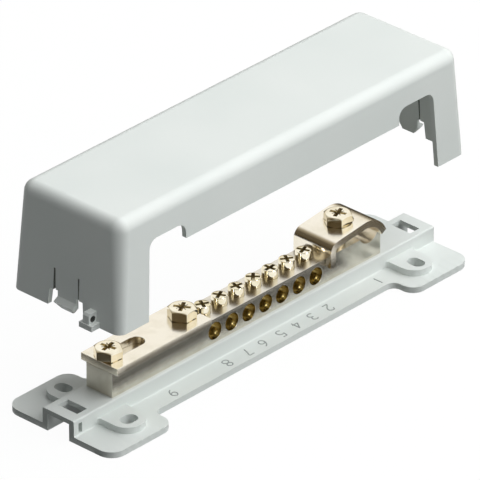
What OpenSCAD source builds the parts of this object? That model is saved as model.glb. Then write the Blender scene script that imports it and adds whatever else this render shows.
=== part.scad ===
// Earth terminal bar: moulded base, clamping bar with screw terminals and a
// snap-on cover, drawn with the cover lifted straight above its seat.
// X runs along the bar, -Y is the wiring side, Z is up from the mounting face.
// The origin is the centre of the mounting face.

/* [Base] */
// Length of the base over its lugs
base_l = 200; // [190:0.5:230]
// Width over the fixing lugs
base_w = 55.2; // [50:0.2:70]
// Width of the flange strip between the lugs
strip_w = 34; // [30:0.2:44]
// Thickness of the flange and the lugs
flange_t = 2.5; // [1.6:0.1:4]
// Length of each fixing lug along the base
lug_l = 33.4; // [26:0.2:45]
// Radius of the outer corners of the lugs
lug_corner_r = 6.5; // [2:0.5:10]
// Radius of the inner corners of the lugs
lug_inner_r = 5.5; // [2:0.5:8]
// Radius where a lug runs into the strip
lug_root_r = 3.4; // [1:0.2:6]
// Width of the raised pedestal
pedestal_w = 16; // [14:0.2:20]
// Height of the pedestal top above the mounting face
pedestal_h = 9.2; // [7:0.1:14]
// Thickness of the pedestal top
pedestal_top_t = 2; // [1.2:0.1:3]
// Thickness of the pedestal side walls
pedestal_wall = 2.5; // [1.6:0.1:3.4]
// Radius of the pedestal's long top edges
pedestal_edge_r = 0.7; // [0.3:0.1:1.2]
// Radius at the foot of the pedestal
pedestal_foot_r = 0.6; // [0.2:0.1:1.2]

/* [Fixing slots] */
// Distance of the fixing slots from the base's ends
slot_inset_x = 20.2; // [18:0.2:24]
// Distance of the fixing slots from the base's long sides
slot_inset_y = 10.8; // [9:0.1:12]
// Width of each fixing slot
slot_w = 5.5; // [4:0.1:6.5]
// End-to-end length of each fixing slot
slot_l = 7.5; // [6.6:0.1:9]
// Width of the raised pad round each slot
pad_w = 13.9; // [12:0.1:16]
// Height of the pads above the lugs
pad_h = 2.7; // [1:0.1:4]
// How far the pads reach past the slot centres
pad_reach = 6.1; // [5:0.1:8]
// Radius where a pad runs into the pedestal
pad_root_r = 1.4; // [0.5:0.1:3]

/* [Cover catches] */
// Distance of the catch slots' outer edges from the base's ends
catch_inset = 5; // [4.5:0.1:6]
// Width of each catch slot along the base
catch_slot_w = 5.3; // [4.5:0.1:7]
// Length of each catch slot across the base
catch_slot_l = 9.9; // [8:0.1:11]
// Distance of the sealing slot from the base end
seal_slot_inset = 3.4; // [2.5:0.1:5]
// Width of the sealing slot in the pedestal wall
seal_slot_w = 1.9; // [1:0.1:3]
// Height of the sealing slot
seal_slot_h = 4.3; // [2:0.1:5]

/* [Terminal bar] */
// Left end of the terminal bar
bar_x0 = -78; // [-84:0.2:-76]
// Width of the terminal bar
bar_w = 13.2; // [12:0.1:15]
// Height of the terminal bar
bar_h = 10.4; // [9:0.1:12]
// Number of wire terminals
terminals = 7; // [3:1:7]
// Distance from one terminal to the next
terminal_pitch = 9.35; // [9:0.05:9.6]
// Distance from the strip clamp's right screw to the first terminal
terminal_gap = 11; // [10.5:0.1:14]
// Diameter of the wire holes
wire_d = 7.3; // [5:0.1:8]
// Height of the wire holes' centres in the bar
wire_z = 5.1; // [4.2:0.1:5.6]
// Depth of the conductor groove
groove_depth = 3.1; // [1:0.1:4]
// Radius of the conductor groove
groove_r = 5.5; // [4:0.1:7]
// Distance of the conductor groove from the saddle's leg
groove_offset = 24.9; // [23:0.1:27]
// Length of the bar past the conductor groove's centre
bar_end = 6.6; // [5.8:0.1:9]

/* [Terminal screws] */
// Diameter of the terminal screws
terminal_screw_d = 6.3; // [4:0.1:6.8]
// How far the terminal screws stand above the bar
terminal_screw_proud = 3.8; // [2:0.1:6]
// Length of the terminal screws
terminal_screw_l = 10.4; // [8:0.1:13]
// Height of the rounded tip
terminal_tip_h = 1.2; // [0.4:0.1:2]
// Span of the driving cross in the terminal screws
terminal_cross_span = 4.5; // [2.5:0.1:5.5]
// Width of the driving cross in the terminal screws
terminal_cross_w = 1; // [0.6:0.1:1.4]
// Depth of the driving cross in the terminal screws
terminal_cross_depth = 1.8; // [0.8:0.1:2.5]

/* [Clamp screws] */
// Thread diameter of the clamp screws
clamp_screw_d = 6; // [5:0.1:6.4]
// Width across flats of the hexagon heads
hex_af = 10; // [9:0.1:11]
// Height of the hexagon heads
hex_h = 4.2; // [3:0.1:5]
// Length of the strip clamp screws under the head
clamp_screw_l = 12; // [9:0.2:12.5]
// Length of the saddle screw under the head
saddle_screw_l = 16.5; // [12:0.5:17]
// Width of the driving cross in the hexagon heads
hex_cross_w = 1.3; // [0.8:0.1:2]
// Span of the driving cross in the hexagon heads
hex_cross_span = 6.4; // [4:0.1:7]
// Depth of the driving cross in the hexagon heads
hex_cross_depth = 2.2; // [1:0.1:3]

/* [Strip clamp] */
// Length of the strip clamp plate past its right screw
plate_end = 6.2; // [5.5:0.1:7]
// Width of the strip clamp plate
plate_w = 18.8; // [16:0.2:22]
// Thickness of the strip clamp plate
plate_t = 3; // [2:0.1:4]
// Distance of the left clamp screw from the plate's end
strip_screw_inset = 4.9; // [4.6:0.1:6]
// Distance between the two strip clamp screws
strip_screw_pitch = 40; // [38:0.2:41]
// How far the plate's slot reaches past the left screw
plate_slot_reach = 15; // [8:0.5:24]
// Clearance of the plate's slot and notch round the screws
plate_slot_gap = 0.3; // [0.1:0.05:0.6]

/* [Saddle clamp] */
// Distance from the last terminal to the outer face of the saddle's leg
saddle_gap = 5.1; // [4:0.1:8]
// Width of the saddle
saddle_w = 19.2; // [17:0.2:22]
// Thickness of the saddle's sheet
saddle_t = 2.8; // [2:0.1:3.2]
// How far the side tabs reach below the bar's top
saddle_tab_h = 3.2; // [1:0.1:4]
// Height of the straight leg above the bar's top
saddle_leg_h = 2.9; // [2:0.1:5]
// Radius of the bend over the leg, along the middle of the sheet
saddle_bend_r = 2.9; // [2:0.1:4]
// Upward slope of the saddle's top
saddle_slope = 6; // [0:0.5:8]
// Length of the saddle's flat top
saddle_top_l = 15.2; // [13:0.1:15.8]
// Radius of the saddle's arch, along the middle of the sheet
saddle_arch_r = 10.6; // [8:0.1:12]
// Downward slope at the end of the arch
saddle_arch_end = 60; // [45:1:65]
// Length of the straight end of the arch
saddle_tip_l = 1.7; // [0.5:0.1:2.2]
// Distance of the saddle screw from the leg's outer face
saddle_screw_x = 14.5; // [12:0.1:15]

/* [Bar fixing screws] */
// Thread diameter of the screws that hold the bar
fix_screw_d = 4; // [3:0.1:5]
// Head diameter of the screws that hold the bar
fix_head_d = 7.6; // [6:0.1:9]
// Head height of the screws that hold the bar
fix_head_h = 2.4; // [1.5:0.1:3]
// Width of the driving cross in the fixing screws
fix_cross_w = 0.8; // [0.5:0.1:1.2]
// How far the fixing screws reach into the bar
fix_reach = 6; // [4:0.1:8]

/* [Cover] */
// Distance of the cover's end walls from the base's ends
cover_inset_x = 4.6; // [4:0.1:5]
// Distance of the cover's long walls from the base's long sides
cover_inset_y = 0.2; // [0:0.1:1.5]
// Height of the cover
cover_h = 45.1; // [40:0.1:60]
// Wall thickness of the cover
cover_wall = 2.1; // [1.4:0.1:3]
// Draft angle of the end walls
cover_draft_x = 3.2; // [1:0.1:4]
// Draft angle of the long walls
cover_draft_y = 2.45; // [1:0.05:4]
// Radius of the upright edges at the foot
cover_corner_r = 3.6; // [2.5:0.1:6]
// Radius of the upright edges at the top
cover_corner_top_r = 5.2; // [5:0.1:9]
// Radius of the top edges
cover_top_r = 4.8; // [2:0.1:4.9]
// How far the cover is lifted off its seat
cover_lift = 48.25; // [35:0.25:80]
// Gap under the cover when it is seated
cover_seat_gap = 0.05; // [0.02:0.01:0.3]
// Width of each corner pillar at its foot
pillar_w = 15.6; // [12:0.2:20]
// Height of the cable opening along the middle
cable_h = 26; // [18:0.2:34]
// Height of the taller cable openings beside the pillars
window_h = 32.6; // [20:0.2:36]
// Length of the cable opening along the middle
cable_l = 117; // [90:0.5:135]
// Radius of the window corners
window_r = 4; // [1:0.1:5]
// Width of the snap tongues
tongue_w = 11.4; // [8:0.1:12]
// Width of the tongue's hook
hook_w = 9.3; // [6:0.1:9.5]
// Height of the slits beside the tongues
slit_h = 16; // [10:0.2:24]
// Width of the slits beside the tongues
slit_w = 0.8; // [0.4:0.1:1.4]
// How far the foot of each tongue is set back from its end wall
tongue_setback = 0.8; // [0.6:0.1:1.3]
// How far the hooks stand out
hook_out = 2.3; // [1:0.1:3]
// Height of the hook's edge above the cover's open edge
hook_z = 3.4; // [2:0.1:3.8]
// Bevel of the hook's lower corners
hook_bevel = 1.8; // [0.5:0.1:2.5]
// Gap between the end walls and the pedestal
pedestal_gap = 0.7; // [0.65:0.05:1]

/* [Sealing ear] */
// Place of the sealing ear across the cover
ear_y = -14; // [-15:0.1:-12.5]
// Width of the ear's foot
ear_foot_w = 6.4; // [4:0.1:8]
// Reach of the ear out from the end wall
ear_out = 4.2; // [3:0.1:4.6]
// Thickness of the ear's foot
ear_foot_t = 2.2; // [1:0.1:3]
// Thickness of the ear's web
ear_web_t = 3; // [1.5:0.1:4]
// Height of the ear
ear_h = 6.4; // [5:0.1:9]
// Diameter of the sealing hole
ear_hole_d = 2.6; // [1.5:0.1:3]
// Height of the sealing hole's centre
ear_hole_z = 3.9; // [3.8:0.1:5]

/* [Hidden] */
// Running clearance between a screw and its threaded hole
thread_gap = 0.08;
eps = 0.01;
round_fn = 48;
// How far cuts run past the faces they open
past = 1;
// Reach of the cuts in the end walls, each way from the cover's edge
end_cut_l = 8;
fillet_steps = 5;

bar_z0 = pedestal_h;
bar_top = bar_z0 + bar_h;
wire_axis_z = bar_z0 + wire_z;
terminal_top = bar_top + terminal_screw_proud;
strip_x0 = bar_x0 + strip_screw_inset;
strip_x1 = strip_x0 + strip_screw_pitch;
plate_l = strip_screw_inset + strip_screw_pitch + plate_end;
terminal_x0 = strip_x1 + terminal_gap + (terminals - 1) * terminal_pitch;
saddle_x0 = terminal_x0 + saddle_gap;
groove_x = saddle_x0 + groove_offset;
bar_l = groove_x + bar_end - bar_x0;
plate_top = bar_top + plate_t;
saddle_axis_x = saddle_x0 + saddle_screw_x;
saddle_mid_x = saddle_x0 + saddle_t / 2;
saddle_leg_top = bar_top + saddle_leg_h;
slot_pitch_x = base_l - 2 * slot_inset_x;
slot_pitch_y = base_w - 2 * slot_inset_y;
catch_edge_x = base_l / 2 - catch_inset;
cover_l = base_l - 2 * cover_inset_x;
cover_w = base_w - 2 * cover_inset_y;
fix_left_x = (strip_x0 + strip_x1) / 2;
fix_right_x = (terminal_x0 + wire_d / 2 + saddle_axis_x - clamp_screw_d / 2) / 2;
cover_z = flange_t + cover_seat_gap + cover_lift;

plastic = [0.84, 0.87, 0.86];
nickel = [0.80, 0.78, 0.70];
zinc = [0.86, 0.85, 0.80];
brass = [0.78, 0.64, 0.30];

// ---------------------------------------------------------------- helpers

// Points on an arc about centre c, from angle a0 to a1
function arc(c, r, a0, a1, n = fillet_steps) =
    [for (i = [0:n]) let (a = a0 + (a1 - a0) * i / n) c + r * [cos(a), sin(a)]];

// A flat slot with round ends, centred, running along X
module slot_shape(l, w) {
    square([l - w, w], center = true);
    for (s = [-1, 1])
        translate([s * (l - w) / 2, 0])
            circle(d = w, $fn = round_fn);
}

// Fills the inner corner at the origin, between +X and +Y, with a fillet
module root_fillet(r) {
    difference() {
        translate([-eps, -eps])
            square(r + eps);
        translate([r, r])
            circle(r = r, $fn = round_fn);
    }
}

// ---------------------------------------------------------------- base

// One quarter of the flange outline, in the +X +Y quadrant
module flange_quarter() {
    lx = base_l / 2;
    ly = base_w / 2;
    xi = lx - lug_l;
    square([lx, strip_w / 2]);
    translate([xi, 0])
        square([lug_l, ly - max(lug_corner_r, lug_inner_r)]);
    translate([xi, 0])
        square([lug_l - lug_corner_r, ly - lug_inner_r]);
    translate([xi + lug_inner_r, 0])
        square([lug_l - lug_corner_r - lug_inner_r, ly]);
    translate([xi + lug_inner_r, 0])
        square([lug_l - lug_inner_r, ly - lug_corner_r]);
    translate([lx - lug_corner_r, ly - lug_corner_r])
        circle(r = lug_corner_r, $fn = round_fn);
    translate([xi + lug_inner_r, ly - lug_inner_r])
        circle(r = lug_inner_r, $fn = round_fn);
    translate([xi, strip_w / 2])
        mirror([1, 0])
            root_fillet(lug_root_r);
}

module four_quarters() {
    for (sx = [0, 1], sy = [0, 1])
        mirror([sx, 0])
            mirror([0, sy])
                children();
}

// Outline of the raised pad, in the +X +Y quadrant
module pad_quarter() {
    x = slot_pitch_x / 2;
    y_end = slot_pitch_y / 2 + pad_reach;
    r = pad_w / 2;
    wall_y = pedestal_w / 2;
    translate([x - r, wall_y - eps])
        square([pad_w, y_end - r - wall_y + eps]);
    translate([x, y_end - r])
        circle(r = r, $fn = round_fn);
    for (s = [0, 1])
        translate([x, wall_y])
            mirror([s, 0])
                translate([r, 0])
                    root_fillet(pad_root_r);
}

// Section of the pedestal across the base, with its foot and edge radii
module pedestal_section() {
    hw = pedestal_w / 2;
    fr = pedestal_foot_r;
    er = pedestal_edge_r;
    side = concat(
        [[hw + fr, 0]],
        arc([hw + fr, flange_t + fr], fr, 270, 180),
        arc([hw - er, pedestal_h - er], er, 0, 90));
    polygon(concat(side, [for (i = [len(side) - 1:-1:0]) [-side[i][0], side[i][1]]]));
}

module fixing_slot(x, y, turn) {
    translate([x, y, -past])
        linear_extrude(flange_t + pad_h + 2 * past)
            rotate(turn)
                slot_shape(slot_l, slot_w);
}

module base_plate() {
    channel_w = pedestal_w - 2 * pedestal_wall;
    channel_h = pedestal_h - pedestal_top_t;
    sx = slot_pitch_x / 2;
    sy = slot_pitch_y / 2;
    color(plastic)
        difference() {
            union() {
                linear_extrude(flange_t)
                    four_quarters()
                        flange_quarter();
                linear_extrude(flange_t + pad_h)
                    four_quarters()
                        pad_quarter();
                rotate([90, 0, 90])
                    translate([0, 0, -base_l / 2])
                        linear_extrude(base_l)
                            pedestal_section();
            }
            // channel under the pedestal, open below and at both ends
            translate([-base_l / 2 - past, -channel_w / 2, -past])
                cube([base_l + 2 * past, channel_w, channel_h + past]);
            // slots for the cover's snap tongues
            for (s = [0, 1])
                mirror([s, 0, 0])
                    translate([catch_edge_x - catch_slot_w, -catch_slot_l / 2, channel_h - past])
                        cube([catch_slot_w, catch_slot_l, pedestal_top_t + 2 * past]);
            // slot for the sealing wire
            translate([-base_l / 2 + seal_slot_inset - seal_slot_w / 2,
                       -pedestal_w / 2 - past, flange_t + pedestal_foot_r])
                cube([seal_slot_w, pedestal_wall + 2 * past, min(seal_slot_h, channel_h - flange_t)]);
            // fixing slots: the near left one runs along the base, the rest across
            fixing_slot(-sx, -sy, 0);
            fixing_slot(-sx, sy, 90);
            fixing_slot(sx, -sy, 90);
            fixing_slot(sx, sy, 90);
            // holes for the screws that hold the bar
            for (x = [fix_left_x, fix_right_x])
                translate([x, 0, channel_h - past])
                    cylinder(d = fix_screw_d, h = pedestal_top_t + 2 * past, $fn = round_fn);
        }
}

// ---------------------------------------------------------------- bar

function terminal_x(i) = terminal_x0 - i * terminal_pitch;

module contact_bar() {
    thread_d = clamp_screw_d + 2 * thread_gap;
    color(nickel)
        difference() {
            translate([bar_x0, -bar_w / 2, bar_z0])
                cube([bar_l, bar_w, bar_h]);
            for (i = [0:terminals - 1]) {
                // wire hole
                translate([terminal_x(i), 0, wire_axis_z])
                    rotate([90, 0, 0])
                        cylinder(d = wire_d, h = bar_w + 2 * past, center = true, $fn = round_fn);
                // threaded hole for the terminal screw
                translate([terminal_x(i), 0, wire_axis_z])
                    cylinder(d = terminal_screw_d + 2 * thread_gap, h = bar_h, $fn = round_fn);
            }
            // threaded holes for the clamp screws
            for (x = [strip_x0, strip_x1, saddle_axis_x])
                translate([x, 0, bar_z0 - past])
                    cylinder(d = thread_d, h = bar_h + 2 * past, $fn = round_fn);
            // groove for the round conductor
            translate([groove_x, 0, bar_top + groove_r - groove_depth])
                rotate([90, 0, 0])
                    cylinder(r = groove_r, h = bar_w + 2 * past, center = true, $fn = round_fn);
            // threaded holes for the screws from below
            for (x = [fix_left_x, fix_right_x])
                translate([x, 0, bar_z0 - past])
                    cylinder(d = fix_screw_d, h = fix_reach + past, $fn = round_fn);
        }
}

// Screw from below that holds the bar on the pedestal
module bar_fixing_screw(x) {
    under_top = pedestal_h - pedestal_top_t;
    color(zinc)
        translate([x, 0, under_top - fix_head_h])
            difference() {
                union() {
                    cylinder(d = fix_head_d, h = fix_head_h, $fn = round_fn);
                    cylinder(d = fix_screw_d, $fn = round_fn,
                             h = fix_head_h + pedestal_top_t + fix_reach);
                }
                for (a = [0, 90])
                    rotate(a)
                        translate([-fix_screw_d / 2, -fix_cross_w / 2, -past])
                            cube([fix_screw_d, fix_cross_w, past + fix_head_h / 2]);
            }
}

// ---------------------------------------------------------------- screws

module driving_cross(span, w, depth) {
    for (a = [0, 90])
        rotate(a)
            translate([-span / 2, -w / 2, -depth])
                cube([span, w, depth + past]);
}

// Hexagon head with a chamfered top, its underside at z = 0
module hex_head() {
    across_corners = hex_af / cos(30);
    chamfer_h = (across_corners - hex_af) / 2 * tan(30);
    intersection() {
        cylinder(d = across_corners, h = hex_h, $fn = 6);
        rotate_extrude($fn = round_fn)
            polygon([[0, 0], [across_corners / 2, 0],
                     [across_corners / 2, hex_h - chamfer_h], [hex_af / 2, hex_h], [0, hex_h]]);
    }
}

// Clamp screw standing on the height z, its hexagon and cross turned as given
module clamp_screw(x, z, l, turn, cross_turn) {
    color(zinc)
        translate([x, 0, z])
            difference() {
                union() {
                    rotate(turn)
                        hex_head();
                    translate([0, 0, -l])
                        cylinder(d = clamp_screw_d, h = l + eps, $fn = round_fn);
                }
                translate([0, 0, hex_h])
                    rotate(cross_turn)
                        driving_cross(hex_cross_span, hex_cross_w, hex_cross_depth);
            }
}

module strip_screw(x, turn, cross_turn) {
    clamp_screw(x, plate_top, clamp_screw_l, turn, cross_turn);
}

module saddle_screw(turn, cross_turn) {
    clamp_screw(saddle_axis_x, saddle_seat_z, saddle_screw_l, turn, cross_turn);
}

// Headless terminal screw with a rounded tip
module terminal_screw(i, cross_turn) {
    r = terminal_screw_d / 2;
    tip_r = (r * r + terminal_tip_h * terminal_tip_h) / (2 * terminal_tip_h);
    color(brass)
        translate([terminal_x(i), 0, terminal_top - terminal_screw_l])
            difference() {
                intersection() {
                    cylinder(r = r, h = terminal_screw_l, $fn = round_fn);
                    union() {
                        translate([0, 0, tip_r])
                            sphere(r = tip_r, $fn = 96);
                        translate([0, 0, tip_r])
                            cylinder(r = 2 * r, h = terminal_screw_l, $fn = round_fn);
                    }
                }
                translate([0, 0, terminal_screw_l])
                    rotate(cross_turn)
                        driving_cross(terminal_cross_span, terminal_cross_w,
                                      terminal_cross_depth);
            }
}

// ---------------------------------------------------------------- strip clamp

module strip_clamp_plate() {
    clear_w = clamp_screw_d + 2 * plate_slot_gap;
    color(nickel)
        translate([bar_x0, 0, bar_top])
            linear_extrude(plate_t)
                difference() {
                    translate([0, -plate_w / 2])
                        square([plate_l, plate_w]);
                    // long slot at the left screw
                    translate([strip_screw_inset + plate_slot_reach / 2, 0])
                        slot_shape(plate_slot_reach + clear_w, clear_w);
                    // open notch at the right screw
                    translate([strip_screw_inset + strip_screw_pitch, 0]) {
                        circle(d = clear_w, $fn = round_fn);
                        translate([0, -clear_w / 2])
                            square([plate_l, clear_w]);
                    }
                }
}

// ---------------------------------------------------------------- saddle clamp

// Ends of the saddle's stretches along the middle of the sheet, in X and Z
saddle_c1 = [saddle_mid_x + saddle_bend_r, saddle_leg_top];
saddle_p2 = saddle_c1 + saddle_bend_r * [-sin(saddle_slope), cos(saddle_slope)];
saddle_p3 = saddle_p2 + saddle_top_l * [cos(saddle_slope), sin(saddle_slope)];
saddle_c2 = saddle_p3 + saddle_arch_r * [sin(saddle_slope), -cos(saddle_slope)];

// One face of the sheet, offset by d from its middle line
function saddle_face(d) = concat(
    [[saddle_mid_x - d, bar_top - saddle_tab_h]],
    arc(saddle_c1, saddle_bend_r + d, 180, 90 + saddle_slope, 8),
    arc(saddle_c2, saddle_arch_r + d, 90 + saddle_slope, 90 - saddle_arch_end, 14),
    [saddle_c2 + (saddle_arch_r + d) * [sin(saddle_arch_end), cos(saddle_arch_end)]
        + saddle_tip_l * [cos(saddle_arch_end), -sin(saddle_arch_end)]]);

module saddle_section() {
    outer = saddle_face(saddle_t / 2);
    inner = saddle_face(-saddle_t / 2);
    polygon(concat(outer, [for (i = [len(inner) - 1:-1:0]) inner[i]]));
}

saddle_head_z = saddle_c1[1] + (saddle_bend_r + saddle_t / 2) / cos(saddle_slope)
    + (saddle_axis_x - saddle_c1[0]) * tan(saddle_slope);

module saddle_clamp() {
    straddle_w = bar_w + 2 * plate_slot_gap;
    color(nickel)
        difference() {
            translate([0, saddle_w / 2, 0])
                rotate([90, 0, 0])
                    linear_extrude(saddle_w)
                        saddle_section();
            // the leg straddles the bar
            translate([saddle_x0 - past, -straddle_w / 2, bar_top - saddle_tab_h - past])
                cube([saddle_t + 2 * past, straddle_w, saddle_tab_h + past]);
            // hole for the screw
            translate([saddle_axis_x, 0, bar_top])
                cylinder(d = clamp_screw_d + 2 * plate_slot_gap, h = saddle_w, $fn = round_fn);
            // flat seat for the screw head
            translate([saddle_axis_x, 0, saddle_seat_z])
                cylinder(d = hex_af / cos(30) + 2 * plate_slot_gap, h = hex_h, $fn = round_fn);
        }
}

// Height of the flat seat spot-faced for the saddle screw's head
saddle_seat_z = saddle_head_z - hex_af / 2 / cos(30) * tan(saddle_slope);

// ---------------------------------------------------------------- cover

// Half sizes of the cover's outside at height z, less d all round
function cover_half(z, d) = [
    cover_l / 2 - z * tan(cover_draft_x) - d,
    cover_w / 2 - z * tan(cover_draft_y) - d];

// A drafted block with round upright and top edges, d inside the cover
module cover_block(d, bottom, top) {
    r0 = cover_corner_r - d;
    r1 = cover_corner_top_r - d;
    tr = min(cover_top_r - d, r1 - eps);
    shoulder = cover_half(top - tr, d);
    foot = cover_half(bottom, d);
    hull()
        for (sx = [-1, 1], sy = [-1, 1]) {
            translate([sx * (foot[0] - r0), sy * (foot[1] - r0), bottom])
                cylinder(r = r0, h = eps, $fn = 32);
            for (a = [0:15:90])
                translate([sx * (shoulder[0] - r1), sy * (shoulder[1] - r1),
                           top - tr * (1 - sin(a)) - eps])
                    cylinder(r = r1 - tr * (1 - cos(a)), h = eps, $fn = 32);
        }
}

// Cable openings in the long walls, seen from the front
module cable_opening() {
    foot_x = cover_l / 2 - pillar_w;
    lean = tan(cover_draft_x);
    top_x = foot_x - window_h * lean;
    step_x = cable_l / 2;
    r = window_r;
    half = concat(
        [[0, -past], [foot_x + past * lean, -past]],
        arc([top_x - r, window_h - r], r, 0, 90),
        arc([step_x + r, window_h - r], r, 90, 180),
        [[step_x, cable_h], [0, cable_h]]);
    polygon(half);
    mirror([1, 0])
        polygon(half);
}

// Cut in the end walls for the pedestal, seen from the end
module pedestal_cut() {
    top_w = pedestal_w + 2 * pedestal_gap - 2 * pedestal_cut_slant;
    foot_w = pedestal_w + 2 * pedestal_gap + 2 * pedestal_cut_slant;
    polygon([[-foot_w / 2, -past], [foot_w / 2, -past], [foot_w / 2, 0], [top_w / 2, pedestal_cut_h],
             [-top_w / 2, pedestal_cut_h], [-foot_w / 2, 0]]);
}

// Snap tongue with its hook, at the +X end, the cover's open edge at z = 0
module snap_tongue() {
    top = cover_half(slit_h, 0)[0];
    inner_top = cover_half(slit_h, cover_wall)[0];
    foot = cover_half(0, tongue_setback)[0];
    inner_foot = cover_half(0, cover_wall)[0];
    cut_x = foot + (top - foot) * pedestal_cut_h / slit_h;
    translate([0, tongue_w / 2, 0])
        rotate([90, 0, 0])
            linear_extrude(tongue_w)
                polygon([[inner_foot, pedestal_cut_h], [cut_x, pedestal_cut_h],
                         [top, slit_h], [top - lean_in, slit_h + lean_h],
                         [inner_top - lean_in, slit_h + lean_h]]);
    intersection() {
        translate([0, hook_w / 2, 0])
            rotate([90, 0, 0])
                linear_extrude(hook_w)
                    polygon([[inner_foot, hook_foot_z], [foot - 0.3, hook_foot_z],
                             [foot + hook_out, hook_z], [foot, hook_z + hook_slope_h],
                             [cut_x, pedestal_cut_h + eps], [inner_foot, pedestal_cut_h + eps]]);
        // bevelled lower corners
        rotate([90, 0, 90])
            linear_extrude(cover_l)
                polygon([[-hook_w / 2 + hook_bevel, hook_foot_z], [hook_w / 2 - hook_bevel, hook_foot_z],
                         [hook_w / 2, hook_foot_z + 1.4 * hook_bevel], [hook_w / 2, slit_h],
                         [-hook_w / 2, slit_h], [-hook_w / 2, hook_foot_z + 1.4 * hook_bevel]]);
    }
}

pedestal_cut_h = pedestal_h - flange_t + 0.3;
pedestal_cut_slant = 0.35;
hook_foot_z = 0.05;
hook_slope_h = 1.4;
// overlap of the tongue with the wall above it
lean_h = 1;
lean_in = lean_h * tan(cover_draft_x);

// Ear with a hole for a sealing wire, at the -X end
module sealing_ear() {
    wall_x = -cover_half(0, cover_wall / 2)[0];
    out_x = -cover_l / 2 - ear_out;
    web_x = out_x + ear_web_inset;
    translate([out_x, ear_y - ear_foot_w / 2, 0])
        cube([wall_x - out_x, ear_foot_w, ear_foot_t]);
    difference() {
        translate([0, ear_y + ear_web_t / 2, 0])
            rotate([90, 0, 0])
                linear_extrude(ear_web_t)
                    polygon([[wall_x, 0], [web_x, 0], [web_x, ear_h - ear_bevel],
                             [web_x + ear_bevel, ear_h], [wall_x, ear_h]]);
        translate([web_x + ear_out / 2, ear_y, ear_hole_z])
            rotate([90, 0, 0])
                cylinder(d = ear_hole_d, h = 2 * ear_web_t, center = true, $fn = 24);
    }
}

ear_web_inset = 0.4;
ear_bevel = 0.8;

module cover() {
    color(plastic)
        translate([0, 0, cover_z]) {
            difference() {
                cover_block(0, 0, cover_h);
                cover_block(cover_wall, -past, cover_h - cover_wall);
                translate([0, cover_w, 0])
                    rotate([90, 0, 0])
                        linear_extrude(2 * cover_w)
                            cable_opening();
                for (s = [0, 1])
                    mirror([s, 0, 0]) {
                        // clears the pedestal
                        translate([cover_l / 2 - end_cut_l, 0, 0])
                            rotate([90, 0, 90])
                                linear_extrude(2 * end_cut_l)
                                    pedestal_cut();
                        // frees the tongue
                        translate([cover_l / 2 - end_cut_l, -tongue_w / 2 - slit_w, 0])
                            cube([2 * end_cut_l, tongue_w + 2 * slit_w, slit_h]);
                    }
            }
            for (s = [0, 1])
                mirror([s, 0, 0])
                    snap_tongue();
            sealing_ear();
        }
}

// ---------------------------------------------------------------- nodes

// Turn of each terminal screw's driving cross
function cross_turn(i) = 20 + 37 * i;

base_plate();
contact_bar();
bar_fixing_screw(fix_left_x);  // bar_fixing_screw_left
bar_fixing_screw(fix_right_x);  // bar_fixing_screw_right
strip_clamp_plate();
strip_screw(strip_x0, 24.6, 10);  // strip_screw_left
strip_screw(strip_x1, 31.6, 30);  // strip_screw_right
saddle_clamp();
saddle_screw(26.6, 20);
terminal_screw(0, cross_turn(0));  // terminal_screw_2
terminal_screw(1, cross_turn(1));  // terminal_screw_3
terminal_screw(2, cross_turn(2));  // terminal_screw_4
terminal_screw(3, cross_turn(3));  // terminal_screw_5
terminal_screw(4, cross_turn(4));  // terminal_screw_6
terminal_screw(5, cross_turn(5));  // terminal_screw_7
terminal_screw(6, cross_turn(6));  // terminal_screw_8
cover();
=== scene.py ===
"""Looks of the earth terminal bar: a moulded base, a clamping bar and a lifted cover."""

import logging
import math
from dataclasses import dataclass
from enum import Enum
from typing import ClassVar, Optional, Sequence, Union

import bmesh
import bpy
import numpy as np
from mathutils import Matrix, Vector


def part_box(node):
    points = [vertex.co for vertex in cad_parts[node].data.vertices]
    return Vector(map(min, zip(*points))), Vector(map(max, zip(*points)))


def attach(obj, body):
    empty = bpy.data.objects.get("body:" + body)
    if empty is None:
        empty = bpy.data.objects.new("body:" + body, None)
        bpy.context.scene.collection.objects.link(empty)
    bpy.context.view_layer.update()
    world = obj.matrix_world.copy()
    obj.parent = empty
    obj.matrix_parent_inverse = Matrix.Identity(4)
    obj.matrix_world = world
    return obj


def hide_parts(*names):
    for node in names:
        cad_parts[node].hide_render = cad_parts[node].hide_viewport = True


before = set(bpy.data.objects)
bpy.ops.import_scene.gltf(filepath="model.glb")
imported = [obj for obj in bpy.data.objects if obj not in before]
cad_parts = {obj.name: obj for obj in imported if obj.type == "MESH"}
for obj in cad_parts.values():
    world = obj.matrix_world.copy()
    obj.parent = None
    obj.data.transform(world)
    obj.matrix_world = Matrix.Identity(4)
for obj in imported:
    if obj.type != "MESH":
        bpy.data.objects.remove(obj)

LOG = logging.getLogger("earth_terminal_bar")
MM = 0.001
WHITE = "#ffffff"
TERMINALS = range(2, 9)
TINY = 1e-6  # keeps a divisor off zero

# A ring's radius and its height, each an array over the angles or one value for all.
Layer = tuple[Union[float, np.ndarray], Union[float, np.ndarray]]


# --------------------------------------------------------------- node trees


def linear(hex_colour: str) -> tuple[float, float, float, float]:
    """Turn a written sRGB colour into linear values.

    Args:
        hex_colour: Six hexadecimal digits, such as "#d9dddb".

    Returns:
        Linear red, green and blue with an alpha of one.
    """
    digits = hex_colour.lstrip("#")
    srgb = [int(digits[i : i + 2], 16) / 255 for i in (0, 2, 4)]
    lin = [c / 12.92 if c <= 0.04045 else ((c + 0.055) / 1.055) ** 2.4 for c in srgb]
    return lin[0], lin[1], lin[2], 1.0


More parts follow.
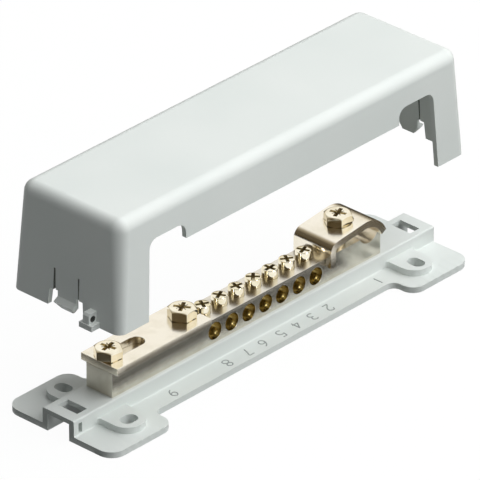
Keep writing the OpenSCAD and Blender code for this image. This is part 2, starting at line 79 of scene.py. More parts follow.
def add_node(
    tree: bpy.types.NodeTree,
    kind: str,
    links: Optional[dict[Union[str, int], bpy.types.NodeSocket]] = None,
    values: Optional[dict[Union[str, int], object]] = None,
    stops: Sequence[tuple[float, str]] = (),
    **settings: object,
) -> bpy.types.Node:
    """Add a node with its settings, socket values, colour stops and incoming links.

    Args:
        tree: The node tree to add to.
        kind: The node's type name.
        links: Input socket name or number to the output socket that feeds it.
        values: Input socket name or number to its constant.
        stops: Place and hex colour of each stop, on a node that has a colour ramp.
        **settings: Attributes of the node itself.

    Returns:
        The new node.
    """
    made = tree.nodes.new(kind)
    for name, value in settings.items():
        setattr(made, name, value)
    for name, value in (values or {}).items():
        made.inputs[name].default_value = value
    for name, source in (links or {}).items():
        tree.links.new(source, made.inputs[name])
    for count, (place, colour) in enumerate(stops):
        elements = made.color_ramp.elements
        element = elements[count] if count < len(elements) else elements.new(place)
        element.position = place
        element.color = linear(colour)
    return made


def blank_material(name: str) -> tuple[bpy.types.Material, bpy.types.NodeTree]:
    """Make a material with an empty node tree.

    Args:
        name: The material's name.

    Returns:
        The material and its node tree.
    """
    material = bpy.data.materials.new(name)
    material.use_nodes = True
    material.node_tree.nodes.clear()
    return material, material.node_tree


# ----------------------------------------------------------------- finishes


@dataclass(frozen=True)
class MouldedPlastic:
    """Polycarbonate blend, injection moulded in a finely eroded tool.

    The eye sees an even tone with a soft sheen, a faint grain about a third of a
    millimetre across, and slow flow marks a few centimetres long.
    """

    name: str
    colour: str
    flow_colour: str
    roughness: float
    roughness_spread: float = 0.04
    ior: float = 1.58
    grain_mm: float = 0.35
    flow_mm: float = 45.0
    bump_mm: float = 0.012
    bump_strength: float = 0.35

    def build(self) -> bpy.types.Material:
        """Make the finish.

        Returns:
            The new material.
        """
        material, tree = blank_material(self.name)
        place = add_node(tree, "ShaderNodeTexCoord").outputs["Object"]
        flow = add_node(
            tree,
            "ShaderNodeTexNoise",
            {"Vector": place},
            {"Scale": 1 / (self.flow_mm * MM), "Detail": 2.0, "Roughness": 0.4},
        )
        grain = add_node(
            tree,
            "ShaderNodeTexNoise",
            {"Vector": place},
            {"Scale": 1 / (self.grain_mm * MM), "Detail": 2.0, "Roughness": 0.55},
        )
        colour = add_node(
            tree,
            "ShaderNodeValToRGB",
            {"Fac": flow.outputs["Fac"]},
            stops=[(0.35, self.flow_colour), (0.65, self.colour)],
        )
        bump = add_node(
            tree,
            "ShaderNodeBump",
            {"Height": grain.outputs["Fac"]},
            {"Strength": self.bump_strength, "Distance": self.bump_mm * MM},
        )
        rough = add_node(
            tree,
            "ShaderNodeMapRange",
            {"Value": grain.outputs["Fac"]},
            {
                "To Min": self.roughness - self.roughness_spread,
                "To Max": self.roughness + self.roughness_spread,
            },
        )
        shader = add_node(
            tree,
            "ShaderNodeBsdfPrincipled",
            {
                "Base Color": colour.outputs["Color"],
                "Roughness": rough.outputs["Result"],
                "Normal": bump.outputs["Normal"],
            },
            {"IOR": self.ior},
        )
        add_node(tree, "ShaderNodeOutputMaterial", {"Surface": shader.outputs["BSDF"]})
        return material


@dataclass(frozen=True)
class PlatedMetal:
    """Bright metal, plated or bare, from sawn bar, pressed sheet or turned screws.

    The eye sees sharp reflections with a warm cast, softened by fine drawing lines
    along the piece and by a slow cloudiness a few millimetres across.
    """

    name: str
    colour: str
    shade_colour: str
    roughness: float
    line_mm: tuple[float, float, float]
    line_bump_mm: float = 0.004
    bump_strength: float = 0.3
    roughness_share: float = 0.3
    cloud_mm: float = 6.0

    def build(self) -> bpy.types.Material:
        """Make the finish.

        Returns:
            The new material.
        """
        material, tree = blank_material(self.name)
        place = add_node(tree, "ShaderNodeTexCoord").outputs["Object"]
        stretch = add_node(
            tree,
            "ShaderNodeMapping",
            {"Vector": place},
            {"Scale": tuple(1 / (size * MM) for size in self.line_mm)},
        )
        lines = add_node(
            tree,
            "ShaderNodeTexNoise",
            {"Vector": stretch.outputs["Vector"]},
            {"Scale": 1.0, "Detail": 3.0, "Roughness": 0.6},
        )
        cloud = add_node(
            tree,
            "ShaderNodeTexNoise",
            {"Vector": place},
            {"Scale": 1 / (self.cloud_mm * MM), "Detail": 2.0, "Roughness": 0.5},
        )
        colour = add_node(
            tree,
            "ShaderNodeValToRGB",
            {"Fac": cloud.outputs["Fac"]},
            stops=[(0.3, self.shade_colour), (0.6, self.colour)],
        )
        rough = add_node(
            tree,
            "ShaderNodeMapRange",
            {"Value": lines.outputs["Fac"]},
            {
                "To Min": self.roughness * (1 - self.roughness_share),
                "To Max": self.roughness * (1 + self.roughness_share),
            },
        )
        bump = add_node(
            tree,
            "ShaderNodeBump",
            {"Height": lines.outputs["Fac"]},
            {"Strength": self.bump_strength, "Distance": self.line_bump_mm * MM},
        )
        shader = add_node(
            tree,
            "ShaderNodeBsdfPrincipled",
            {
                "Base Color": colour.outputs["Color"],
                "Roughness": rough.outputs["Result"],
                "Normal": bump.outputs["Normal"],
            },
            {"Metallic": 1.0},
        )
        add_node(tree, "ShaderNodeOutputMaterial", {"Surface": shader.outputs["BSDF"]})
        return material


class Plastic(Enum):
    """The moulded finishes on the part, by where they are.

    Narrow walls in shadow and the low numbers are drawn darker than the body: painted shade.
    """

    BODY = MouldedPlastic("moulded_light_grey_polycarbonate", "#dfe4e1", "#dae0dd", 0.46)
    # Painted shade: the slit and sealing-hole walls are coloured darker in place of their shadow.
    SLIT_PAINTED_SHADE = MouldedPlastic("polycarbonate_with_painted_slit_shade", "#4c514e", "#474c49", 0.7)
    # Painted shade: the numbers are coloured darker in place of the shading along their relief.
    NUMERAL_PAINTED_SHADE = MouldedPlastic("polycarbonate_numerals_with_painted_shade", "#9aa09e", "#959b99", 0.6)


class Metal(Enum):
    """The metal finishes on the part, by the piece or hollow they are on.

    The driving crosses and the bores are drawn darker than the metal around them, as painted shade in
    these hollows.
    """

    BAR = PlatedMetal("nickel_plated_brass_bar", "#e9e4d8", "#dcd6c8", 0.24, (60.0, 0.8, 0.8), 0.0012)
    SHEET = PlatedMetal("nickel_plated_steel_sheet", "#f9f2e2", "#f1e9d6", 0.2, (20.0, 0.6, 0.6))
    SCREW = PlatedMetal("zinc_plated_steel_screw", "#faf3de", "#eee4ca", 0.1, (1.0, 1.0, 0.4))
    TERMINAL = PlatedMetal("plated_brass_terminal_screw", "#f8f1dc", "#e8dcb8", 0.08, (1.0, 1.0, 0.4))
    TIP = PlatedMetal("turned_brass_screw_tip", "#ece0b8", "#d9ca98", 0.16, (1.0, 1.0, 0.4))
    # Painted shade: the driving crosses are coloured darker than the heads around them.
    HEX_CROSS_PAINTED_SHADE = PlatedMetal("hex_cross_with_painted_shade", "#d8cdae", "#c8bc9b", 0.16, (0.5, 0.5, 0.5))
    TERMINAL_CROSS_PAINTED_SHADE = PlatedMetal("terminal_cross_with_painted_shade", "#b3a88a", "#9f9474", 0.24, (0.5, 0.5, 0.5))
    # Painted shade: the bores are coloured darker than the bar around them.
    BORE_PAINTED_SHADE = PlatedMetal("nickel_plated_bore_with_painted_shade", "#cfc4a2", "#bcb089", 0.12, (0.4, 6.0, 0.4), 0.002)


# ------------------------------------------------------------------- studio


def add_object(name: str, data: bpy.types.ID) -> bpy.types.Object:
    """Put a mesh, a lamp or a camera into the scene.

    Args:
        name: The object's name.
        data: Its mesh, lamp or camera.

    Returns:
        The new object.
    """
    made = bpy.data.objects.new(name, data)
    bpy.context.scene.collection.objects.link(made)
    return made


@dataclass(frozen=True)
class Studio:
    """A pale table, soft lamps, the camera and the dark sheets that metal mirrors."""

    azimuth_deg: float = -47.21
    elevation_deg: float = 29.49
    distance_mm: float = 2884.0
    lens_mm: float = 572.5
    sensor_mm: float = 36.0
    aside_mm: float = -0.84
    above_mm: float = 36.21
    sight_m: float = 20.0
    table_m: float = 6.0
    table_drop_m: float = 0.0002
    table_tone: str = "#676a68"
    table_glow: float = 1.335
    table_glow_share: float = 0.72
    blade_from_m: float = -0.12
    blade_to_m: float = 0.2
    blade_pitch_m: float = 0.004
    blade_height_m: float = 0.0035
    lamp_distance_m: float = 2.0
    lamp_aim_m: tuple[float, float, float] = (0.0, 0.0, 0.04)
    room_tone: str = "#f2f4f6"
    room_strength: float = 0.125
    felt: str = "#5a5245"

    RISING: ClassVar[tuple[tuple[float, str], ...]] = (
        (0.0, "#6a6150"),
        (0.05, "#4b4437"),
        (0.085, "#ddd4c1"),
        (0.12, "#6a604f"),
        (0.3, "#efe9dc"),
        (0.5, WHITE),
    )
    SIDED: ClassVar[tuple[tuple[float, str], ...]] = ((0.0, "#5b5243"), (0.5, "#a59b88"), (1.0, WHITE))

    def axes(self) -> tuple[Vector, Vector, Vector]:
        """Work out the camera's directions from its azimuth and elevation.

        Returns:
            The camera's right, back and up directions.
        """
        a = math.radians(self.azimuth_deg)
        e = math.radians(self.elevation_deg)
        right = Vector((math.cos(a), math.sin(a), 0))
        back = Vector((math.sin(a) * math.cos(e), -math.cos(a) * math.cos(e), math.sin(e)))
        return right, back, back.cross(right)

    def camera(self) -> None:
        """Place the camera."""
        right, back, up = self.axes()
        data = bpy.data.cameras.new("camera")
        data.sensor_width = self.sensor_mm
        data.lens = self.lens_mm
        data.clip_end = self.sight_m
        camera = add_object("camera", data)
        camera.matrix_world = Matrix((right, up, back)).transposed().to_4x4()
        camera.location = (back * self.distance_mm + right * self.aside_mm + up * self.above_mm) * MM
        bpy.context.scene.camera = camera

    def table(self) -> None:
        """Lay the table, which looks pale and keeps the part's shadow."""
        half, low = self.table_m / 2, -self.table_drop_m
        corners = [(-half, -half, low), (half, -half, low), (half, half, low), (-half, half, low)]
        mesh = bpy.data.meshes.new("table")
        mesh.from_pydata(corners, [], [(0, 1, 2, 3)])
        table = add_object("table", mesh)
        material, tree = blank_material("matt_white_table")
        rays = add_node(tree, "ShaderNodeLightPath").outputs
        seen = add_node(
            tree,
            "ShaderNodeMath",
            {0: rays["Is Camera Ray"], 1: rays["Is Transmission Ray"]},
            operation="MAXIMUM",
        )
        shown = add_node(
            tree,
            "ShaderNodeMath",
            {0: seen.outputs[0], 1: rays["Is Glossy Ray"]},
            operation="MAXIMUM",
        )
        share = add_node(
            tree,
            "ShaderNodeMath",
            {0: shown.outputs[0]},
            {1: self.table_glow_share},
            operation="MULTIPLY",
        )
        matt = add_node(tree, "ShaderNodeBsdfDiffuse", values={"Color": linear(self.table_tone)})
        bright = add_node(
            tree,
            "ShaderNodeEmission",
            values={"Color": linear(WHITE), "Strength": self.table_glow},
        )
        mixed = add_node(
            tree,
            "ShaderNodeMixShader",
            {"Fac": share.outputs[0], 1: matt.outputs[0], 2: bright.outputs[0]},
        )
        add_node(tree, "ShaderNodeOutputMaterial", {"Surface": mixed.outputs[0]})
        mesh.materials.append(material)

    def card(self, name: str, low: tuple[float, float], high: tuple[float, float], tone: str) -> None:
        """Lay a dark card on the table, seen in reflections alone.

        Args:
            name: The card's name.
            low: Lowest x and y, in metres.
            high: Highest x and y, in metres.
            tone: The card's colour.
        """
        (x0, y0), (x1, y1) = low, high
        corners = np.array([(x0, y0, 0.0), (x1, y0, 0.0), (x1, y1, 0.0), (x0, y1, 0.0)])
        self.dark_sheets(name, corners[None], tone)

    def blades(self, name: str, near: float, far: float, tone: str) -> None:
        """Stand a row of low dark blades before the bar, square to its long side.

        Each blade is an upright rectangle at one place along x. Reflections that run
        along the bar meet them, and those that leave it squarely pass between them.

        Args:
            name: The row's name.
            near: Near end of each blade along y, in metres.
            far: Far end of each blade along y, in metres.
            tone: The blades' colour.
        """
        x = np.arange(self.blade_from_m, self.blade_to_m, self.blade_pitch_m)
        tall = self.blade_height_m
        sheets = np.empty((len(x), 4, 3))
        sheets[..., 0] = x[:, None]
        sheets[..., 1:] = np.array([(near, 0.0), (far, 0.0), (far, tall), (near, tall)])
        self.dark_sheets(name, sheets, tone)

    def dark_sheets(self, name: str, sheets: np.ndarray, tone: str) -> None:
        """Make dark rectangles that are seen in reflections alone.

        Args:
            name: The object's name.
            sheets: Array of shape (sheets, 4, 3), in metres.
            tone: Their colour.
        """
        mesh = bpy.data.meshes.new(name)
        faces = np.arange(len(sheets) * 4).reshape(-1, 4)
        mesh.from_pydata(sheets.reshape(-1, 3).tolist(), [], faces.tolist())
        card = add_object(name, mesh)
        material, tree = blank_material("dark_felt_card")
        matt = add_node(tree, "ShaderNodeBsdfDiffuse", values={"Color": linear(tone)})
        add_node(tree, "ShaderNodeOutputMaterial", {"Surface": matt.outputs[0]})
        mesh.materials.append(material)
        card.visible_camera = False
        card.visible_diffuse = False
        card.visible_shadow = False
        card.visible_transmission = False

    def lamp(
        self, name: str, towards: Sequence[float], size_m: float, watts: float, glint: bool = False
    ) -> None:
        """Hang an area lamp that faces the part.

        Args:
            name: The lamp's name.
            towards: Direction from the part to the lamp.
            size_m: Side of the lamp.
            watts: Power of the lamp.
            glint: Whether it only glints on gloss, or else only lights evenly.
        """
        data = bpy.data.lights.new(name, "AREA")
        data.shape = "SQUARE"
        data.size = size_m
        data.energy = watts
        lamp = add_object(name, data)
        way = Vector(towards).normalized()
        lamp.location = way * self.lamp_distance_m + Vector(self.lamp_aim_m)
        lamp.rotation_euler = way.to_track_quat("Z", "Y").to_euler()
        lamp.visible_camera = False
        lamp.visible_glossy = glint
        lamp.visible_diffuse = not glint

    def world(self) -> None:
        """Fill the room with even light, white behind the part and patterned in metal."""
        world = bpy.data.worlds.new("room")
        world.use_nodes = True
        tree = world.node_tree
        tree.nodes.clear()
        rays = add_node(tree, "ShaderNodeLightPath").outputs
        place = add_node(tree, "ShaderNodeTexCoord").outputs["Generated"]
        parts = add_node(tree, "ShaderNodeSeparateXYZ", {"Vector": place})
        rising = add_node(tree, "ShaderNodeValToRGB", {"Fac": parts.outputs["Z"]}, stops=self.RISING)
        across = add_node(
            tree,
            "ShaderNodeMapRange",
            {"Value": parts.outputs["X"]},
            {"From Min": -0.45, "From Max": 0.3, "To Min": 0.0, "To Max": 1.0},
        )
        sided = add_node(tree, "ShaderNodeValToRGB", {"Fac": across.outputs["Result"]}, stops=self.SIDED)
        # The mixing node has a socket for each kind of data: 6, 7 and output 2 are the colours.
        mirrored = add_node(
            tree,
            "ShaderNodeMix",
            {6: rising.outputs["Color"], 7: sided.outputs["Color"]},
            {0: 1.0},
            data_type="RGBA",
            blend_type="MULTIPLY",
        )
        plain = add_node(
            tree,
            "ShaderNodeBackground",
            values={"Color": linear(self.room_tone), "Strength": self.room_strength},
        )
        shown = add_node(tree, "ShaderNodeBackground", {"Color": mirrored.outputs[2]}, {"Strength": 1.0})
        white = add_node(tree, "ShaderNodeBackground", values={"Color": linear(WHITE), "Strength": 1.0})
        mixed = add_node(
            tree,
            "ShaderNodeMixShader",
            {"Fac": rays["Is Glossy Ray"], 1: plain.outputs[0], 2: shown.outputs[0]},
        )
        seen = add_node(
            tree,
            "ShaderNodeMath",
            {0: rays["Is Camera Ray"], 1: rays["Is Transmission Ray"]},
            operation="MAXIMUM",
        )
        whole = add_node(
            tree,
            "ShaderNodeMixShader",
            {"Fac": seen.outputs[0], 1: mixed.outputs[0], 2: white.outputs[0]},
        )
        add_node(tree, "ShaderNodeOutputWorld", {"Surface": whole.outputs[0]})
        bpy.context.scene.world = world

    def build(self) -> None:
        """Set up the whole studio."""
        self.camera()
        self.table()
        self.world()
        self.lamp("key", towards=(0.395, -0.46, 0.805), size_m=3.3, watts=88.0)
        self.lamp("bore_glint", towards=(0.1, -1.0, 0.07), size_m=0.6, watts=13.0, glint=True)
        self.blades("front_blades", near=-0.0325, far=-0.0185, tone="#3f3a31")
        self.card("saddle_card", low=(0.074, -0.056), high=(0.13, -0.034), tone=self.felt)
        self.card("leg_card", low=(0.058, -0.034), high=(0.08, -0.027), tone=self.felt)
        self.card("edge_card", low=(-0.05, -0.0375), high=(0.02, -0.0305), tone=self.felt)
        self.card("left_card", low=(-0.15, -0.06), high=(-0.1015, 0.05), tone="#4a4438")
        self.card("right_card", low=(0.104, -0.3), high=(3.0, 3.0), tone="#463f33")
        bpy.context.scene.view_settings.view_transform = "Standard"


# ----------------------------------------------------------------- meshes


def grid_mesh(name: str, rings: np.ndarray) -> bpy.types.Mesh:
    """Skin a stack of closed rings, from the top ring down.

    Ring k and ring k+1 are joined by quads around, and the first and last rings are
    closed by one fan each, so the skin is whole and faces outwards.

    Args:
        name: The mesh's name.
        rings: Array of shape (rings, around, 3) in millimetres, turning anticlockwise.

    Returns:
        The mesh, in metres.
    """
    count, around, _ = rings.shape
    here = np.arange(around)
    after = np.roll(here, -1)
    row = np.arange(count - 1)[:, None] * around
    quads = np.stack([row + here, row + around + here, row + around + after, row + after], axis=-1)
    points = np.vstack([rings.reshape(-1, 3), rings[0].mean(axis=0), rings[-1].mean(axis=0)])
    top = np.full(around, count * around)
    last = (count - 1) * around
    fans = np.vstack(
        [
            np.stack([top, here, after], axis=-1),
            np.stack([top + 1, last + after, last + here], axis=-1),
        ]
    )
    mesh = bpy.data.meshes.new(name)
    mesh.from_pydata((points * MM).tolist(), [], quads.reshape(-1, 4).tolist() + fans.tolist())
    mesh.update()
    return mesh


def turned_rings(theta: np.ndarray, axis_x: float, layers: Sequence[Layer]) -> np.ndarray:
    """Stand rings of varying radius around an upright axis.

    A ring's points lie at the axis plus the radius times the cosine and sine of each
    angle, all at the ring's height.

    Args:
        theta: Angles around the axis, in radians.
        axis_x: Place of the axis along the bar, in millimetres.
        layers: Radius and height of each ring, at each angle or one for all.

    Returns:
        Array of shape (rings, around, 3), in millimetres.
    """
    radius = np.array([np.broadcast_to(r, theta.shape) for r, _ in layers])
    height = np.array([np.broadcast_to(z, theta.shape) for _, z in layers])
    return np.stack([axis_x + radius * np.cos(theta), radius * np.sin(theta), height], axis=-1)


def face_vectors(mesh: bpy.types.Mesh, kind: str) -> np.ndarray:
    """Read a vector of every face.

    Args:
        mesh: The mesh to read.
        kind: "center" in metres, or "normal".

    Returns:
        Array of shape (faces, 3).
    """
    values = np.empty(len(mesh.polygons) * 3)
    mesh.polygons.foreach_get(kind, values)
    return values.reshape(-1, 3)


def finish_faces(mesh: bpy.types.Mesh, chosen: np.ndarray, material: bpy.types.Material) -> None:
    """Add a finish to a mesh and give it to some of the faces.

    Args:
        mesh: The mesh, which has its main finish already.
        chosen: Whether each face takes the new finish.
        material: The new finish.
    """
    index = len(mesh.materials)
    mesh.materials.append(material)
    slots = np.zeros(len(mesh.polygons), dtype=np.int32)
    mesh.polygons.foreach_get("material_index", slots)
    slots[chosen] = index
    mesh.polygons.foreach_set("material_index", slots)


def place_piece(
    name: str,
    mesh: bpy.types.Mesh,
    material: bpy.types.Material,
    body: str,
    sharp_deg: float = 32.0,
) -> bpy.types.Object:
    """Dress a mesh, shade it smooth up to an angle and ride it on a body.

    Args:
        name: The piece's name.
        mesh: Its mesh, already in place.
        material: Its finish.
        body: The body it moves with.
        sharp_deg: Edges sharper than this stay crisp.

    Returns:
        The new piece.
    """
    mesh.materials.append(material)
    mesh.shade_smooth()
    mesh.set_sharp_from_angle(angle=math.radians(sharp_deg))
    piece = add_object(name, mesh)
    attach(piece, body)
    LOG.info("%s built", name)
    return piece


def box_mm(node: str) -> tuple[np.ndarray, np.ndarray]:
    """Measure a solid of the part.

    Args:
        node: The solid's node.

    Returns:
        The lowest and the highest corner of its box, in millimetres.
    """
    low, high = (np.array(corner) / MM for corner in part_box(node))
    return low, high


# ----------------------------------------------------------------- screws


@dataclass(frozen=True)
class DrivingCross:
    """A driving cross sunk in a screw's head, with or without ticks between its arms.

    A step of its wall is a share of the cross's reach and a depth below the head.
    The deep steps follow the arms alone, and the upper ones the ticks as well.
    """

    span: float
    width: float
    deep_steps: tuple[tuple[float, float], ...]
    upper_steps: tuple[tuple[float, float], ...]
    mouth: float
    tick_span: float = 0.0
    tick_width: float = 0.0
    margin: float = 0.02

    @staticmethod
    def arms(theta: np.ndarray, span: float, width: float) -> np.ndarray:
        """Work out the outline of four equal arms.

        The reach at an angle is the arm's half length over the cosine of the angle
        from its middle, or its half width over the sine, whichever is less.

        Args:
            theta: Angles from one arm, in radians.
            span: Length over two arms.
            width: Width of an arm.

        Returns:
            The reach at each angle.
        """
        off = np.abs((theta + math.pi / 4) % (math.pi / 2) - math.pi / 4)
        return np.minimum(span / 2 / np.cos(off), width / 2 / np.maximum(np.sin(off), TINY))

    def layers(self, theta: np.ndarray, top: float) -> list[Layer]:
        """Work out the rings from the foot of the cross up to its mouth.

        Args:
            theta: Angles from one arm, in radians.
            top: Height of the head's flat top.

        Returns:
            Radius and height of each ring.
        """
        plain = self.arms(theta, self.span, self.width)
        whole = plain
        if self.tick_span:
            ticks = self.arms(theta + math.pi / 4, self.tick_span, self.tick_width)
            whole = np.maximum(plain, ticks)
        deep = [(plain * share, top - depth) for share, depth in self.deep_steps]
        upper = [(whole * share, top - depth) for share, depth in self.upper_steps]
        return deep + upper + [(whole + self.mouth, top)]

    def inside(self, mesh: bpy.types.Mesh, axis_x: float, top: float) -> np.ndarray:
        """Find the faces of the cross.

        A face is in the cross when its middle lies within half the span of the
        screw's axis, below the head's flat top and above the foot of the cross.

        Args:
            mesh: The screw's mesh.
            axis_x: Place of the screw's axis along the bar.
            top: Height of the head's flat top.

        Returns:
            Whether each face is in the cross.
        """
        middle = face_vectors(mesh, "center") / MM
        near = np.hypot(middle[:, 0] - axis_x, middle[:, 1]) < self.span / 2 + self.margin
        foot = top - self.deep_steps[0][1]
        return near & (middle[:, 2] < top - self.margin) & (middle[:, 2] > foot - self.margin)


@dataclass
class HexScrew:
    """A zinc plated hexagon screw with a driving cross, a washer face and a thread."""

    node: str
    body: str
    turn_deg: float
    cross_deg: float
    length: float
    across_flats: float = 10.0
    head_h: float = 4.2
    chamfer: float = 0.35
    chamfer_deg: float = 30.0
    lip: float = 0.25
    lip_drop: float = 0.03
    corner_in: float = 0.12
    corner_half: float = 0.05
    washer_h: float = 0.24
    washer_in: float = 0.35
    under_edge: float = 0.07
    under_rise: float = 0.01
    shank_r: float = 3.0
    end_in: float = 0.9
    pitch: float = 1.0
    thread_depth: float = 0.3
    rings_per_turn: int = 6
    around: int = 288
    cross: DrivingCross = DrivingCross(
        span=6.6,
        width=1.55,
        deep_steps=((0.25, 2.8), (0.62, 2.2), (0.9, 0.55)),
        upper_steps=((0.94, 0.45), (1.0, 0.08)),
        mouth=0.08,
        tick_span=5.0,
        tick_width=0.45,
    )

    def rings(self, x: float, seat: float) -> np.ndarray:
        """Work out the rings from the foot of the cross, over the head and down the shank.

        Across the head the radius is the apothem over the cosine of the angle from
        the nearest flat, and the chamfer cone lowers the top beyond the flats. Down
        the thread the radius follows a cosine that turns once for each pitch of
        height.

        Args:
            x: Place of the screw's axis along the bar.
            seat: Height of the head's underside.

        Returns:
            Array of shape (rings, around, 3), in millimetres.
        """
        theta = np.linspace(0, 2 * math.pi, self.around, endpoint=False)
        flat = self.across_flats / 2
        sixth = math.pi / 3
        off = (theta - math.radians(self.turn_deg) + sixth / 2) % sixth - sixth / 2
        hexed = flat / np.cos(off)
        dome = flat - self.chamfer
        top = self.head_h
        fall = np.maximum(hexed - dome, 0) * math.tan(math.radians(self.chamfer_deg))
        washer = flat - self.washer_in
        layers = self.cross.layers(theta - math.radians(self.cross_deg), top)
        layers += [
            (dome - self.lip, top),
            (dome, top - self.lip_drop),
            (hexed - self.corner_in, top - fall + self.corner_half),
            (hexed, top - fall - self.corner_half),
            (hexed, self.washer_h + self.under_rise + self.under_edge),
            (hexed - self.under_edge, self.washer_h + self.under_rise),
            (washer, self.washer_h),
            (washer, 0.0),
            (self.shank_r, 0.0),
        ]
        steps = int(self.length / self.pitch * self.rings_per_turn)
        for z in np.linspace(0.0, -self.length, steps)[1:]:
            wave = 0.5 - 0.5 * np.cos(theta - 2 * math.pi * z / self.pitch)
            layers.append((self.shank_r - self.thread_depth * wave, z))
        layers.append((self.shank_r - self.end_in, -self.length))
        return turned_rings(theta, x, [(radius, seat + z) for radius, z in layers])

    def build(
        self, material: bpy.types.Material, cross_material: bpy.types.Material
    ) -> bpy.types.Object:
        """Build the screw where its solid stands and let it stand for the solid.

        Args:
            material: The finish of the head and thread.
            cross_material: The finish inside the driving cross, darker as painted shade.

        Returns:
            The new piece.
        """
        low, high = box_mm(self.node)
        x = (low[0] + high[0]) / 2
        mesh = grid_mesh(f"{self.node}_turned", self.rings(x, high[2] - self.head_h))
        piece = place_piece(f"{self.node}_turned", mesh, material, self.body)
        finish_faces(mesh, self.cross.inside(mesh, x, high[2]), cross_material)
        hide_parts(self.node)
        return piece


@dataclass
class TerminalScrew:
    """A plated brass grub screw with a domed tip and a driving cross.

    From one screw to the next, the cross is turned on by the same step.
    """

    number: int
    first_deg: float = 20.0
    step_deg: float = 37.0
    edge: float = 0.3
    edge_share: float = 0.3
    tip_r: float = 2.3
    tip_h: float = 1.7
    tip_deg: float = 84.0
    tip_rings: int = 13
    plain_h: float = 5.7
    bare_above: float = 0.1
    neck_h: float = 0.5
    flare: float = 0.22
    around: int = 192
    cross: DrivingCross = DrivingCross(
        span=5.3,
        width=1.4,
        deep_steps=((0.3, 2.2), (0.7, 1.8), (0.96, 0.15)),
        upper_steps=(),
        mouth=0.05,
    )

    def rings(self, x: float, low: float, high: float, radius: float) -> np.ndarray:
        """Work out the rings from the foot of the cross down to the middle of the tip.

        The tip is a narrower stem with a small flare, ending in half an ellipsoid:
        its radius goes with the cosine of an angle and its drop with the sine.

        Args:
            x: Place of the screw's axis along the bar.
            low: Height of the tip's lowest point.
            high: Height of the head's flat top.
            radius: Radius of the screw.

        Returns:
            Array of shape (rings, around, 3), in millimetres.
        """
        theta = np.linspace(0, 2 * math.pi, self.around, endpoint=False)
        turn = self.edge * self.edge_share
        foot = low + self.tip_h
        flared = self.tip_r + self.flare
        cross_deg = self.first_deg + self.step_deg * (self.number - TERMINALS[0])
        layers = self.cross.layers(theta - math.radians(cross_deg), high)
        layers += [
            (radius - self.edge, high),
            (radius - turn, high - turn),
            (radius, high - self.edge),
            (radius, high - self.plain_h),
            (self.tip_r, high - self.plain_h - self.neck_h),
            (self.tip_r, foot + self.flare * 2),
            (flared, foot + self.flare),
        ]
        for a in np.radians(np.linspace(0, self.tip_deg, self.tip_rings)):
            layers.append((flared * math.cos(a), foot - self.tip_h * math.sin(a)))
        return turned_rings(theta, x, layers)

    def build(
        self,
        material: bpy.types.Material,
        tip_material: bpy.types.Material,
        cross_material: bpy.types.Material,
    ) -> bpy.types.Object:
        """Build the screw where its solid stands and let it stand for the solid.

        Args:
            material: The finish above the bar.
            tip_material: The finish of the thread and tip inside the bar.
            cross_material: The finish inside the driving cross, darker as painted shade.

        Returns:
            The new piece.
        """
        node = f"terminal_screw_{self.number}"
        low, high = box_mm(node)
        x, radius = (low[0] + high[0]) / 2, (high[0] - low[0]) / 2
        mesh = grid_mesh(f"{node}_turned", self.rings(x, low[2], high[2], radius))
        piece = place_piece(f"{node}_turned", mesh, material, f"screw_{self.number}")
        bare = face_vectors(mesh, "center")[:, 2] < (high[2] - self.plain_h + self.bare_above) * MM
        finish_faces(mesh, bare, tip_material)
        finish_faces(mesh, self.cross.inside(mesh, x, high[2]), cross_material)
        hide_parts(node)
        return piece


# -------------------------------------------------------------- mouldings


